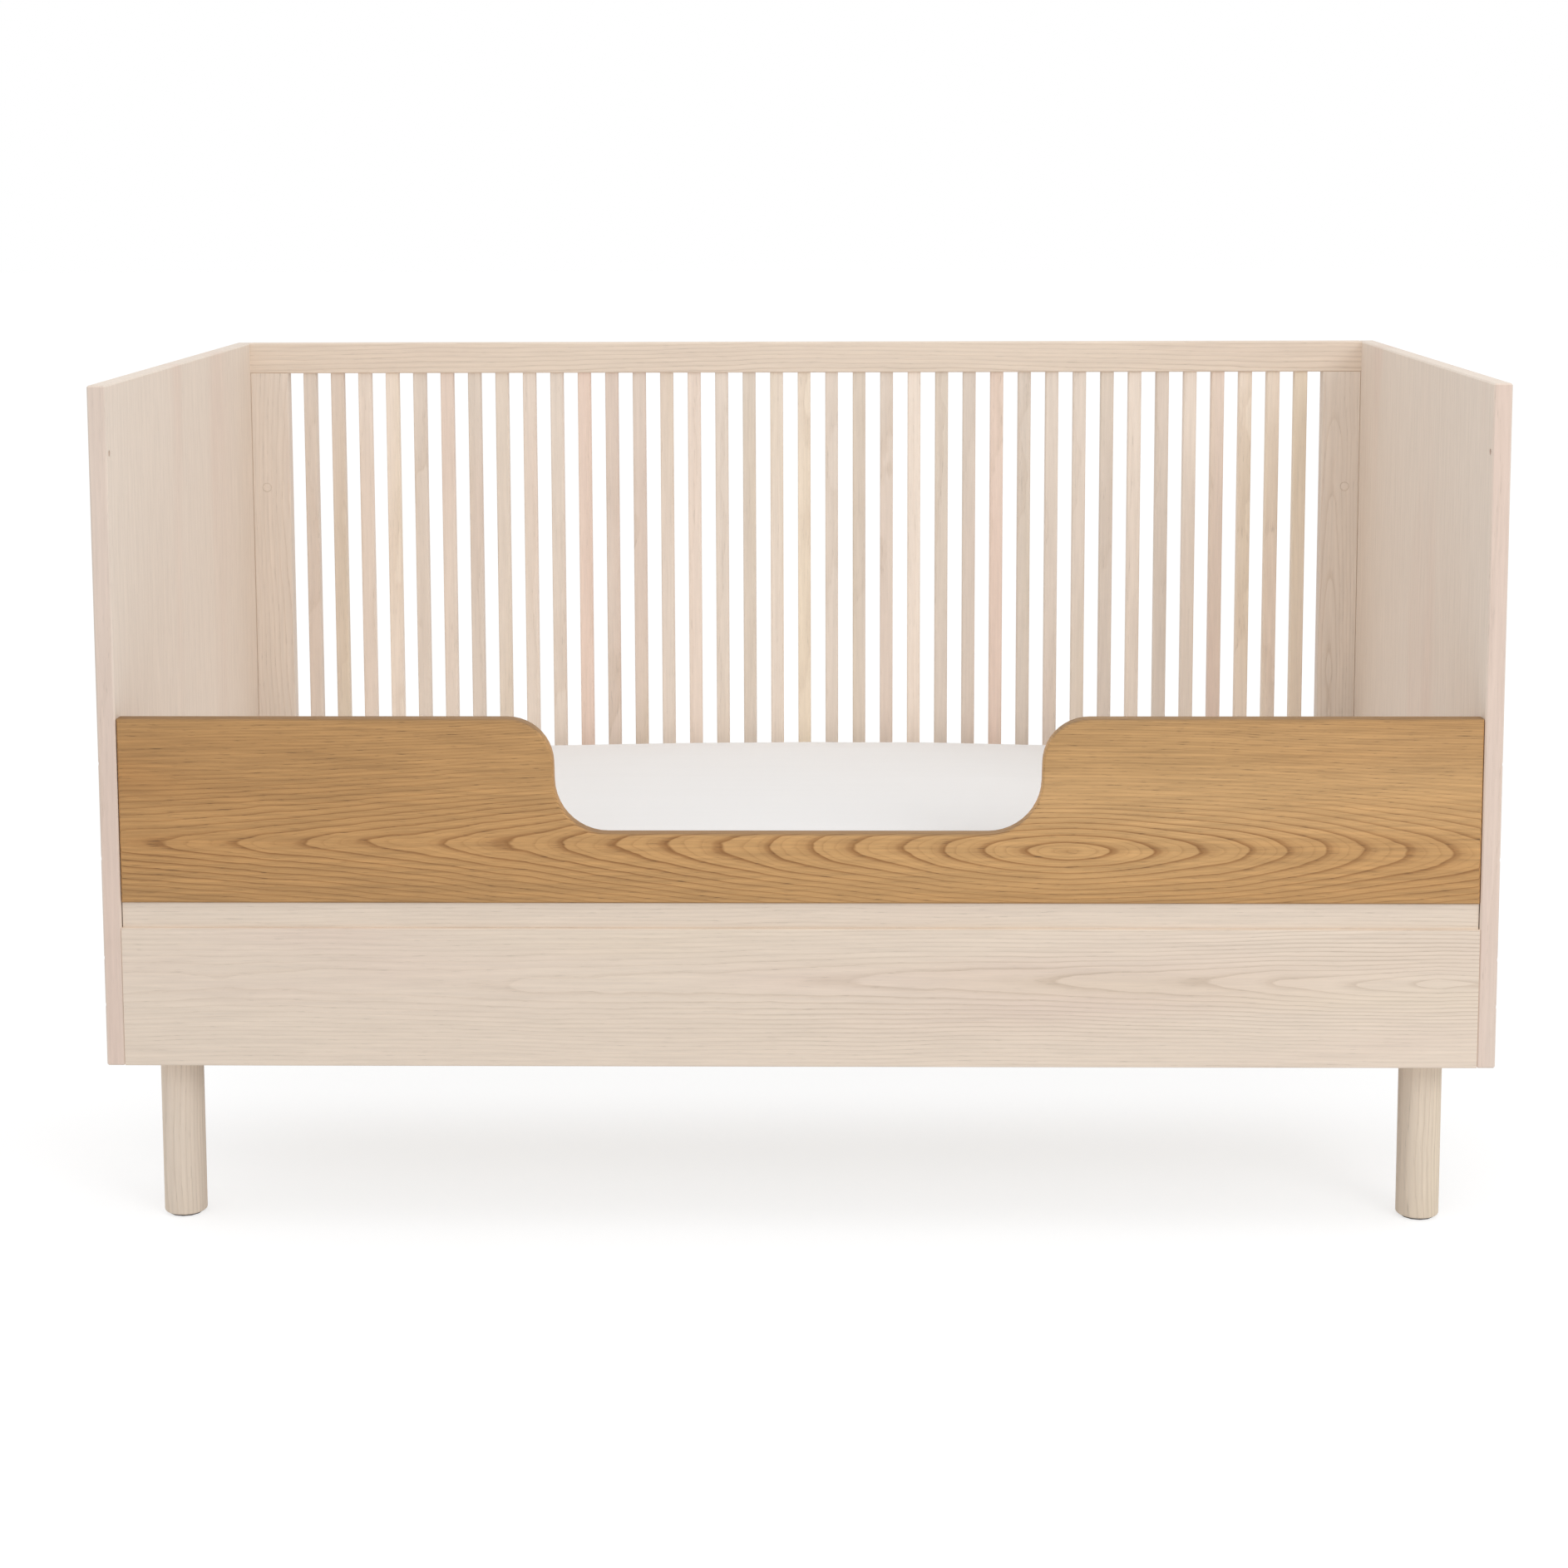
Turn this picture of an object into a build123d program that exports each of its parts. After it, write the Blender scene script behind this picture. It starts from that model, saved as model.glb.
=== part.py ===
from build123d import *
import os

# Cot bed for a 1400 x 700 mattress, set up for a toddler: two solid end panels, a slatted back,
# a low front with a climb-in cut-out, four screw-on legs and a mattress base that hangs on bolts.
# Millimetres. X runs along the bed, the front looks along -Y, Z is up. The origin is on the
# floor under the middle of the bed.

# ---------------------------------------------------------------- mattress and its space
mattress_length = 1400.0
mattress_width = 700.0
mattress_thickness = 110.0
mattress_end_gap = 2.0
mattress_side_gap = 3.0
mattress_corner_radius = 28.0
mattress_edge_chamfer = 10.0

# ---------------------------------------------------------------- end panels
panel_thickness = 19.0
panel_height = 710.0
panel_edge_chamfer = 1.6

# ---------------------------------------------------------------- legs
body_clearance = 180.0
leg_diameter = 45.0
leg_inset = 45.0
glide_diameter = 34.0
glide_thickness = 2.5
corner_block_height = 40.0
leg_bolt_diameter = 8.0
leg_bolt_in_leg = 35.0
leg_bolt_in_block = 22.0
leg_insert_diameter = 12.0
leg_insert_length = 25.0

# ---------------------------------------------------------------- front boards
front_board_thickness = 20.0
apron_height = 146.5
apron_edge_chamfer = 1.0
reveal_height = 27.0
batten_thickness = 20.0
batten_lap = 22.0
batten_setback = 4.0
batten_end_gap = 1.0
guard_height = 193.0
guard_end_gap = 1.0
guard_edge_chamfer = 1.8
cutout_depth = 120.0
cutout_top_width = 506.0
cutout_wall_lean = 3.0
cutout_lip_radius = 48.0
cutout_root_radius = 55.0

# ---------------------------------------------------------------- slatted back
frame_thickness = 22.0
top_rail_height = 38.0
bottom_rail_height = 38.0
stile_width = 48.0
frame_edge_chamfer = 1.2
slat_count = 37
slat_width = 16.0
slat_depth = 16.0
slat_edge_chamfer = 1.0
slat_housing = 12.0
back_apron_thickness = 20.0

# ---------------------------------------------------------------- mattress base
base_end_gap = 3.0
base_side_gap = 2.0
base_rail_thickness = 20.0
base_rail_height = 50.0
base_top_height = 272.0
base_slat_count = 14
base_slat_width = 60.0
base_slat_thickness = 10.0
base_slat_housing = 14.0
hook_height = 240.0
hook_half_spacing = 180.0
hook_rows = 3
hook_pitch = 100.0
hook_shoulder_diameter = 8.0
hook_running_gap = 0.3
hook_head_diameter = 14.0
hook_head_thickness = 3.0
hook_thread_diameter = 6.0
hook_thread_length = 12.0
hook_insert_diameter = 10.0
hook_insert_length = 14.0

# ---------------------------------------------------------------- connector bolts and their nuts
bolt_diameter = 6.0
bolt_hole_diameter = 7.0
bolt_head_diameter = 17.0
bolt_head_thickness = 2.5
bolt_head_recess = 0.4
bolt_head_clearance = 0.3
bolt_overrun = 3.0
bolt_hole_spare = 2.0
nut_diameter = 10.0
nut_length = 14.0
nut_setback = 18.0
nut_cap_diameter = 11.0
nut_cap_thickness = 2.4
nut_cap_recess = 0.4
metal_fit = 0.1
apron_bolt_offsets = (65.0, 115.0)
guard_bolt_offsets = (46.5, 146.5)
stile_bolt_offsets = (75.0, 380.0)
side_bore_drop = 70.0

# ---------------------------------------------------------------- dowels
dowel_diameter = 8.0
dowel_length = 30.0
dowel_half_spacing = 11.0

# ---------------------------------------------------------------- flats round the small hardware
hidden_flat_count = 8
seen_flat_count = 12

# ---------------------------------------------------------------- places worked out from the sizes
inner_length = mattress_length + 2 * mattress_end_gap
inner_depth = mattress_width + 2 * mattress_side_gap
body_depth = front_board_thickness + batten_thickness + inner_depth + frame_thickness

inner_x = inner_length / 2
outer_x = inner_x + panel_thickness
front_y = -body_depth / 2
board_back_y = front_y + front_board_thickness
batten_back_y = board_back_y + batten_thickness
back_y = body_depth / 2
frame_front_y = back_y - frame_thickness
back_apron_front_y = back_y - back_apron_thickness

body_bottom = body_clearance
body_top = body_bottom + panel_height
apron_top = body_bottom + apron_height
guard_bottom = apron_top + reveal_height
guard_top = guard_bottom + guard_height
top_rail_bottom = body_top - top_rail_height
bottom_rail_top = apron_top + bottom_rail_height
corner_block_top = body_bottom + corner_block_height

stile_inner_x = inner_x - stile_width
slat_gap = (2 * stile_inner_x - slat_count * slat_width) / (slat_count + 1)
slat_pitch = slat_width + slat_gap
frame_middle_y = (frame_front_y + back_y) / 2
front_board_middle_y = (front_y + board_back_y) / 2
back_apron_middle_y = (back_apron_front_y + back_y) / 2

cutout_bottom_width = cutout_top_width - 2 * cutout_wall_lean

leg_x = inner_x - leg_inset
leg_front_y = board_back_y + leg_inset
leg_back_y = back_apron_front_y - leg_inset

base_end_x = inner_x - base_end_gap
base_front_y = batten_back_y + base_side_gap
base_back_y = frame_front_y - base_side_gap
base_bottom_height = base_top_height - base_rail_height
base_inner_x = base_end_x - base_rail_thickness
base_slat_bottom = base_top_height - base_slat_thickness
hook_heights = [hook_height + row * hook_pitch for row in range(hook_rows)]
hook_places_y = (-hook_half_spacing, hook_half_spacing)

bolt_seat_x = outer_x - bolt_head_thickness - bolt_head_recess
nut_x = inner_x - nut_setback
bolt_tip_x = nut_x - bolt_overrun
apron_bolt_heights = [body_bottom + offset for offset in apron_bolt_offsets]
guard_bolt_heights = [guard_bottom + offset for offset in guard_bolt_offsets]
stile_bolt_heights = [apron_top + offset for offset in stile_bolt_offsets]
side_bore_height = body_top - side_bore_drop

legs = {
    "front_left": (-1, leg_front_y, board_back_y),
    "front_right": (1, leg_front_y, board_back_y),
    "back_left": (-1, leg_back_y, back_apron_front_y),
    "back_right": (1, leg_back_y, back_apron_front_y),
}
sides = {"left": -1, "right": 1}

# Each connector joins one board to an end panel: (y of the bolt, its height, y of the board's
# inner face, direction in which that face looks).
connectors = [(front_board_middle_y, height, board_back_y, 1) for height in apron_bolt_heights]
connectors += [(front_board_middle_y, height, board_back_y, 1) for height in guard_bolt_heights]
connectors += [(back_apron_middle_y, height, back_apron_front_y, -1) for height in apron_bolt_heights]
connectors += [(frame_middle_y, height, frame_front_y, -1) for height in stile_bolt_heights]


# ---------------------------------------------------------------- helpers
def board(x_span, y_span, z_span, broken_edge=0.0, along=()):
    """A board that fills the three spans, with a small chamfer on the edges along the named axes."""
    spans = [sorted(span) for span in (x_span, y_span, z_span)]
    sizes = [high - low for low, high in spans]
    middle = [(low + high) / 2 for low, high in spans]
    blank = Pos(*middle) * Box(*sizes)
    edges = [edge for axis in along for edge in blank.edges().filter_by(axis)]
    return chamfer(edges, broken_edge) if edges else blank


def rod(axis, start, length, diameter, flats=None):
    """A bar or hole that runs from start along X, Y or Z; a negative length runs back.

    It is round, or a prism with the given number of flats whose width across them is the diameter.
    """
    turn = {"X": (0, 90, 0), "Y": (-90, 0, 0), "Z": (0, 0, 0)}[axis]
    shift = {"X": (1, 0, 0), "Y": (0, 1, 0), "Z": (0, 0, 1)}[axis]
    middle = [place + step * length / 2 for place, step in zip(start, shift)]
    if flats:
        section = RegularPolygon(diameter / 2, flats, major_radius=False)
        bar = extrude(section, abs(length) / 2, both=True)
    else:
        bar = Cylinder(diameter / 2, abs(length))
    return Pos(*middle) * Rot(*turn) * bar


def cut_all(blank, tools):
    """The blank with every tool taken out of it."""
    for tool in tools:
        blank = blank - tool
    return blank


def evenly(first, last, count):
    """Count places from first to last, the same distance apart."""
    return [first + index * (last - first) / (count - 1) for index in range(count)]


def slat_places():
    """The middle of every back slat along X."""
    first = -stile_inner_x + slat_gap + slat_width / 2
    return [first + index * slat_pitch for index in range(slat_count)]


# ---------------------------------------------------------------- end panels
def end_panel(side):
    """A solid end panel with its bolt holes, insert holes and the spare hole for a full-height front."""
    blank = board(
        (side * inner_x, side * outer_x),
        (front_y, back_y),
        (body_bottom, body_top),
        panel_edge_chamfer,
        (Axis.X, Axis.Y, Axis.Z),
    )
    through = side * panel_thickness
    spare_bore = (side * inner_x, front_board_middle_y, side_bore_height)
    holes = [rod("X", spare_bore, through, bolt_hole_diameter)]
    seat_diameter = bolt_head_diameter + 2 * bolt_head_clearance
    for y, height, _, _ in connectors:
        holes.append(rod("X", (side * inner_x, y, height), through, bolt_hole_diameter, hidden_flat_count))
        seat = (side * bolt_seat_x, y, height)
        holes.append(rod("X", seat, side * (outer_x - bolt_seat_x), seat_diameter, seen_flat_count))
    for y in hook_places_y:
        for height in hook_heights:
            start = (side * inner_x, y, height)
            holes.append(rod("X", start, side * hook_insert_length, hook_insert_diameter, hidden_flat_count))
    return cut_all(blank, holes)


# ---------------------------------------------------------------- boards that the connectors pull in
def connector_pocket(side, y, height, face_y, looks):
    """The bolt hole from the end of a board and the nut's hole from its inner face."""
    bolt_depth = inner_x - bolt_tip_x + bolt_hole_spare
    mouth = (side * inner_x, y, height)
    bolt_hole = rod("X", mouth, -side * bolt_depth, bolt_hole_diameter, hidden_flat_count)
    nut_depth = abs(face_y - y) + nut_length / 2
    nut_mouth = (side * nut_x, face_y, height)
    nut_hole = rod("Y", nut_mouth, -looks * nut_depth, nut_diameter + 2 * metal_fit, hidden_flat_count)
    return bolt_hole + nut_hole


def pockets(y, heights, face_y, looks, which=(-1, 1)):
    """The connector pockets of one board at the named ends."""
    return [connector_pocket(side, y, height, face_y, looks) for side in which for height in heights]


def front_apron():
    """The deep board across the front, between the end panels."""
    spans = (-inner_x, inner_x), (front_y, board_back_y), (body_bottom, apron_top)
    blank = board(*spans, apron_edge_chamfer, (Axis.X,))
    return cut_all(blank, pockets(front_board_middle_y, apron_bolt_heights, board_back_y, 1))


def back_apron():
    """The matching board across the back, below the slatted frame."""
    spans = (-inner_x, inner_x), (back_apron_front_y, back_y), (body_bottom, apron_top)
    blank = board(*spans, apron_edge_chamfer, (Axis.X,))
    return cut_all(blank, pockets(back_apron_middle_y, apron_bolt_heights, back_apron_front_y, -1))


def guard_outline():
    """The guard's face: a long board with a rounded, slightly tapered cut-out in its top edge."""
    half_length = inner_x - guard_end_gap
    floor_of_cutout = guard_top - cutout_depth
    corners = [
        (-half_length, guard_bottom),
        (half_length, guard_bottom),
        (half_length, guard_top),
        (cutout_top_width / 2, guard_top),
        (cutout_bottom_width / 2, floor_of_cutout),
        (-cutout_bottom_width / 2, floor_of_cutout),
        (-cutout_top_width / 2, guard_top),
        (-half_length, guard_top),
    ]
    face = make_face(Polyline(*corners, close=True))
    for half_width, height, radius in (
        (cutout_top_width / 2, guard_top, cutout_lip_radius),
        (cutout_bottom_width / 2, floor_of_cutout, cutout_root_radius),
    ):
        pair = [face.vertices().sort_by_distance((side * half_width, height))[0] for side in sides.values()]
        face = fillet(pair, radius)
    return face


def toddler_guard():
    """The low oak guard with the climb-in cut-out."""
    blank = Pos(0, front_board_middle_y, 0) * Rot(90, 0, 0) * extrude(
        guard_outline(), front_board_thickness / 2, both=True
    )
    long_edges = blank.edges().group_by(Axis.Y)
    blank = chamfer(long_edges[0] + long_edges[-1], guard_edge_chamfer)
    return cut_all(blank, pockets(front_board_middle_y, guard_bolt_heights, board_back_y, 1))


def front_batten():
    """The batten behind the joint of apron and guard, with a tongue that fills the gap between them."""
    backing = board(
        (-inner_x, inner_x),
        (board_back_y, batten_back_y),
        (apron_top - batten_lap, guard_bottom + batten_lap),
    )
    tongue = board(
        (-inner_x + batten_end_gap, inner_x - batten_end_gap),
        (front_y + batten_setback, board_back_y),
        (apron_top, guard_bottom),
    )
    return backing + tongue


# ---------------------------------------------------------------- slatted back
def dowel_places():
    """Start of each dowel with its axis, at the four corners of the back frame."""
    places = []
    stile_middle_x = inner_x - stile_width / 2
    rail_middle = apron_top + bottom_rail_height / 2
    for side in sides.values():
        for offset in (-dowel_half_spacing, dowel_half_spacing):
            upright = (side * stile_middle_x + offset, frame_middle_y, top_rail_bottom - dowel_length / 2)
            level = (side * stile_inner_x - dowel_length / 2, frame_middle_y, rail_middle + offset)
            places += [("Z", upright), ("X", level)]
    return places


def dowel_holes():
    """Every dowel hole of the back frame."""
    width = dowel_diameter + 2 * metal_fit
    return [rod(axis, start, dowel_length, width, hidden_flat_count) for axis, start in dowel_places()]


def mortises(face_height, depth):
    """Square mortises for the slats, cut from a rail's face; a negative depth cuts downwards."""
    half_width = slat_width / 2
    half_depth = slat_depth / 2
    return [
        board(
            (x - half_width, x + half_width),
            (frame_middle_y - half_depth, frame_middle_y + half_depth),
            (face_height, face_height + depth),
        )
        for x in slat_places()
    ]


def back_top_rail():
    """The top rail, over the ends of the stiles, with a mortise for each slat."""
    spans = (-inner_x, inner_x), (frame_front_y, back_y), (top_rail_bottom, body_top)
    blank = board(*spans, frame_edge_chamfer, (Axis.X,))
    return cut_all(blank, mortises(top_rail_bottom, slat_housing) + dowel_holes())


def back_bottom_rail():
    """The bottom rail, between the stiles, with a mortise for each slat."""
    spans = (-stile_inner_x, stile_inner_x), (frame_front_y, back_y), (apron_top, bottom_rail_top)
    blank = board(*spans, frame_edge_chamfer, (Axis.X,))
    return cut_all(blank, mortises(bottom_rail_top, -slat_housing) + dowel_holes())


def back_stile(side):
    """An upright of the back frame, bolted to the end panel."""
    spans = (side * stile_inner_x, side * inner_x), (frame_front_y, back_y), (apron_top, top_rail_bottom)
    blank = board(*spans, frame_edge_chamfer, (Axis.Z,))
    cuts = pockets(frame_middle_y, stile_bolt_heights, frame_front_y, -1, (side,))
    seat_depth = nut_cap_recess + nut_cap_thickness
    for height in stile_bolt_heights:
        mouth = (side * nut_x, frame_front_y, height)
        cuts.append(rod("Y", mouth, seat_depth, nut_cap_diameter + 2 * metal_fit, seen_flat_count))
    return cut_all(blank, cuts + dowel_holes())


def back_slat():
    """One slat at X = 0: a square bar with broken edges, let into both rails."""
    return board(
        (-slat_width / 2, slat_width / 2),
        (frame_middle_y - slat_depth / 2, frame_middle_y + slat_depth / 2),
        (bottom_rail_top - slat_housing, top_rail_bottom + slat_housing),
        slat_edge_chamfer,
        (Axis.Z,),
    )


# ---------------------------------------------------------------- legs
def leg(side, y):
    """A plain round leg with a hole for its bolt."""
    post = rod("Z", (side * leg_x, y, glide_thickness), body_bottom - glide_thickness, leg_diameter)
    head = (side * leg_x, y, body_bottom)
    hole_depth = leg_bolt_in_leg + bolt_hole_spare
    return post - rod("Z", head, -hole_depth, leg_bolt_diameter + 2 * metal_fit, hidden_flat_count)


def corner_block(side, y, board_y):
    """The block in a corner of the body that the leg screws into."""
    width = 2 * leg_inset
    toward_middle = 1 if y < 0 else -1
    blank = board(
        (side * inner_x, side * (inner_x - width)),
        (board_y, board_y + toward_middle * width),
        (body_bottom, corner_block_top),
    )
    foot = (side * leg_x, y, body_bottom)
    return blank - rod("Z", foot, leg_insert_length, leg_insert_diameter, hidden_flat_count)


def leg_insert(side, y):
    """The threaded sleeve in a corner block."""
    foot = (side * leg_x, y, body_bottom)
    bore = rod("Z", foot, leg_insert_length, leg_bolt_diameter + 2 * metal_fit, hidden_flat_count)
    return rod("Z", foot, leg_insert_length, leg_insert_diameter, hidden_flat_count) - bore


def leg_bolt(side, y):
    """The headless bolt between a leg and its corner block."""
    low = (side * leg_x, y, body_bottom - leg_bolt_in_leg)
    return rod("Z", low, leg_bolt_in_leg + leg_bolt_in_block, leg_bolt_diameter, hidden_flat_count)


def glide(side, y):
    """The plastic glide under a leg."""
    return rod("Z", (side * leg_x, y, 0), glide_thickness, glide_diameter, seen_flat_count)


# ---------------------------------------------------------------- mattress base
def base_slat_places():
    """The middle of every base slat along X."""
    last = base_inner_x - base_slat_width / 2
    return evenly(-last, last, base_slat_count)


def base_slat_span_y():
    """The two ends of a base slat, inside the side rails."""
    inset = base_rail_thickness - base_slat_housing
    return base_front_y + inset, base_back_y - inset


def base_slat(x):
    """A flat slat, let into both side rails and flush with their tops."""
    half = base_slat_width / 2
    return board((x - half, x + half), base_slat_span_y(), (base_slat_bottom, base_top_height))


def base_side_rail(outer_y, inward):
    """A long rail of the base with a housing for each slat."""
    blank = board(
        (-base_end_x, base_end_x),
        (outer_y, outer_y + inward * base_rail_thickness),
        (base_bottom_height, base_top_height),
    )
    return cut_all(blank, [base_slat(x) for x in base_slat_places()])


def base_end_rail(side):
    """A short rail of the base with two notches, open below, that hook over the bolts."""
    blank = board(
        (side * base_inner_x, side * base_end_x),
        (base_front_y + base_rail_thickness, base_back_y - base_rail_thickness),
        (base_bottom_height, base_top_height),
    )
    notch_radius = hook_shoulder_diameter / 2 + hook_running_gap
    notches = []
    for y in hook_places_y:
        start = (side * base_inner_x, y, hook_height)
        notches.append(rod("X", start, side * base_rail_thickness, 2 * notch_radius, seen_flat_count))
        notches.append(
            board(
                (side * base_inner_x, side * base_end_x),
                (y - notch_radius, y + notch_radius),
                (base_bottom_height, hook_height),
            )
        )
    return cut_all(blank, notches)


def hook_bolt(side, y):
    """A shoulder bolt in the end panel that the base hangs on."""
    shoulder_length = base_end_gap + base_rail_thickness + hook_running_gap
    face = (side * inner_x, y, hook_height)
    shoulder = rod("X", face, -side * shoulder_length, hook_shoulder_diameter, seen_flat_count)
    thread = rod("X", face, side * hook_thread_length, hook_thread_diameter, hidden_flat_count)
    head_start = (side * (inner_x - shoulder_length), y, hook_height)
    head = rod("X", head_start, -side * hook_head_thickness, hook_head_diameter, seen_flat_count)
    return shoulder + thread + head


def hook_insert(side, y, height):
    """A threaded sleeve in an end panel, flush with its inner face."""
    face = (side * inner_x, y, height)
    bore = rod("X", face, side * hook_insert_length, hook_thread_diameter + 2 * metal_fit, hidden_flat_count)
    return rod("X", face, side * hook_insert_length, hook_insert_diameter, hidden_flat_count) - bore


def mattress():
    """The mattress with its fitted sheet, as one soft block with rounded edges."""
    blank = board(
        (-mattress_length / 2, mattress_length / 2),
        (batten_back_y + mattress_side_gap, frame_front_y - mattress_side_gap),
        (base_top_height, base_top_height + mattress_thickness),
    )
    blank = fillet(blank.edges().filter_by(Axis.Z), mattress_corner_radius)
    levels = blank.edges().group_by(Axis.Z)
    return chamfer(levels[0] + levels[-1], mattress_edge_chamfer)


# ---------------------------------------------------------------- connector hardware
def connector_bolt(side, y, height):
    """A connector bolt; its flat head sits in the outside of the end panel."""
    seat = (side * bolt_seat_x, y, height)
    shank = rod("X", seat, -side * (bolt_seat_x - bolt_tip_x), bolt_diameter, hidden_flat_count)
    head = rod("X", seat, side * bolt_head_thickness, bolt_head_diameter, seen_flat_count)
    return shank + head


def barrel_nut(side, y, height):
    """A barrel nut across the end of a board, with a hole for the tip of its bolt."""
    body = rod("Y", (side * nut_x, y - nut_length / 2, height), nut_length, nut_diameter, hidden_flat_count)
    tip = (side * bolt_tip_x, y, height)
    return body - rod("X", tip, side * nut_diameter, bolt_diameter + 2 * metal_fit, hidden_flat_count)


def nut_cap(side, height):
    """The cap over a barrel nut of the back frame, a little below the face of the stile."""
    outside = (side * nut_x, frame_front_y + nut_cap_recess, height)
    return rod("Y", outside, nut_cap_thickness, nut_cap_diameter, seen_flat_count)


# ---------------------------------------------------------------- nodes
nodes = {}
for name, side in sides.items():
    nodes[f"end_panel_{name}"] = end_panel(side)
    nodes[f"back_stile_{name}"] = back_stile(side)
    nodes[f"base_end_rail_{name}"] = base_end_rail(side)

nodes["front_apron"] = front_apron()
nodes["front_batten"] = front_batten()
nodes["toddler_guard"] = toddler_guard()
nodes["back_apron"] = back_apron()
nodes["back_top_rail"] = back_top_rail()
nodes["back_bottom_rail"] = back_bottom_rail()
nodes["back_slats"] = Compound(children=[Pos(x, 0, 0) * back_slat() for x in slat_places()])

for name, (side, y, board_y) in legs.items():
    nodes[f"leg_{name}"] = leg(side, y)
    nodes[f"corner_block_{name}"] = corner_block(side, y, board_y)
nodes["leg_glides"] = Compound(children=[glide(side, y) for side, y, _ in legs.values()])
nodes["leg_bolts"] = Compound(children=[leg_bolt(side, y) for side, y, _ in legs.values()])
nodes["leg_inserts"] = Compound(children=[leg_insert(side, y) for side, y, _ in legs.values()])

nodes["base_side_rail_front"] = base_side_rail(base_front_y, 1)
nodes["base_side_rail_back"] = base_side_rail(base_back_y, -1)
for index, x in enumerate(base_slat_places(), 1):
    nodes[f"base_slat_{index:02d}"] = base_slat(x)
nodes["mattress"] = mattress()

hook_bolts = [hook_bolt(side, y) for side in sides.values() for y in hook_places_y]
hook_inserts = [
    hook_insert(side, y, height) for side in sides.values() for y in hook_places_y for height in hook_heights
]
nodes["hook_bolts"] = Compound(children=hook_bolts)
nodes["hook_inserts"] = Compound(children=hook_inserts)

bolts = [connector_bolt(side, y, height) for side in sides.values() for y, height, _, _ in connectors]
nuts = [barrel_nut(side, y, height) for side in sides.values() for y, height, _, _ in connectors]
caps = [nut_cap(side, height) for side in sides.values() for height in stile_bolt_heights]
dowels = [rod(axis, start, dowel_length, dowel_diameter, hidden_flat_count) for axis, start in dowel_places()]
nodes["connector_bolts"] = Compound(children=bolts)
nodes["barrel_nuts"] = Compound(children=nuts)
nodes["nut_caps"] = Compound(children=caps)
nodes["frame_dowels"] = Compound(children=dowels)

os.makedirs("parts", exist_ok=True)
for name, shape in nodes.items():
    export_step(shape, f"parts/{name}.step")
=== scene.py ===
import math
from typing import NamedTuple

import bpy
from mathutils import Matrix, Vector, noise


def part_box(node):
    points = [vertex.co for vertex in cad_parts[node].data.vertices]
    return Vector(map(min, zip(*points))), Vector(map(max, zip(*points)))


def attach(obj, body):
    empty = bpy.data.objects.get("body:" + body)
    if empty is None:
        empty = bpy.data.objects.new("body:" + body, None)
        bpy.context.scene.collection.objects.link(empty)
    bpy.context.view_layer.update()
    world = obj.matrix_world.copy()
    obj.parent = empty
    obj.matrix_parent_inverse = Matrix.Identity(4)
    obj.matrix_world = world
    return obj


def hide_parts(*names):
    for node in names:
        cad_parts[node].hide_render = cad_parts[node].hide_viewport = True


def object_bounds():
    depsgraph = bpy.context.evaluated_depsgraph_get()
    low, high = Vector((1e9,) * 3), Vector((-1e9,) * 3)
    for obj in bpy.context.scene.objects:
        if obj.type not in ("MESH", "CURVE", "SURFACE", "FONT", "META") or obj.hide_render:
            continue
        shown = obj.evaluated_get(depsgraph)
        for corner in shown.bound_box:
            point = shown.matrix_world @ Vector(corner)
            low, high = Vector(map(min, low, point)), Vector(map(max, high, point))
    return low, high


bl_info = {
    "name": "Cot bed",
    "version": (1, 0, 0),
    "blender": (4, 5, 0),
    "location": "View3D > Sidebar > Cot bed",
    "description": "Dresses the cot bed: ash and oak boards, fitted sheet, fittings, lamps and camera",
    "category": "Object",
}

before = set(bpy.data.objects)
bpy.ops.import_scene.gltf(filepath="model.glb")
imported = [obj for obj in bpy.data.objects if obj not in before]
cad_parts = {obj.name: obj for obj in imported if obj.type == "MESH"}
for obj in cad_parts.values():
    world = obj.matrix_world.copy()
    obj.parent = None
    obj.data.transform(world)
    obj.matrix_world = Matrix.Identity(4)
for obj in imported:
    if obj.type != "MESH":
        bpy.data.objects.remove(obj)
cad_box = [list(corner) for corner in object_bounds()]

AXES = "XYZ"
BED = "bed_frame"
BASE = "mattress_base"
MATTRESS = "mattress"


# ---------------------------------------------------------------- sizes and colours to change
def paint(red, green, blue):
    """A colour written as display values from 0 to 255, turned into the linear one of a shader."""

    def linear(value):
        share = value / 255
        return share / 12.92 if share <= 0.04045 else ((share + 0.055) / 1.055) ** 2.4

    return linear(red), linear(green), linear(blue)


def colour(name, description, *display):
    """A colour that the sidebar shows."""
    return bpy.props.FloatVectorProperty(
        name=name, description=description, subtype="COLOR", min=0.0, max=1.0, default=paint(*display)
    )


def length(name, description, default):
    """A length in metres that the sidebar shows."""
    return bpy.props.FloatProperty(
        name=name, description=description, unit="LENGTH", precision=4, default=default
    )


def amount(name, description, default):
    """A plain number that the sidebar shows."""
    return bpy.props.FloatProperty(name=name, description=description, precision=3, default=default)


def angle(name, description, degrees):
    """An angle that the sidebar shows."""
    return bpy.props.FloatProperty(
        name=name, description=description, unit="ROTATION", precision=3, default=math.radians(degrees)
    )


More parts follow.
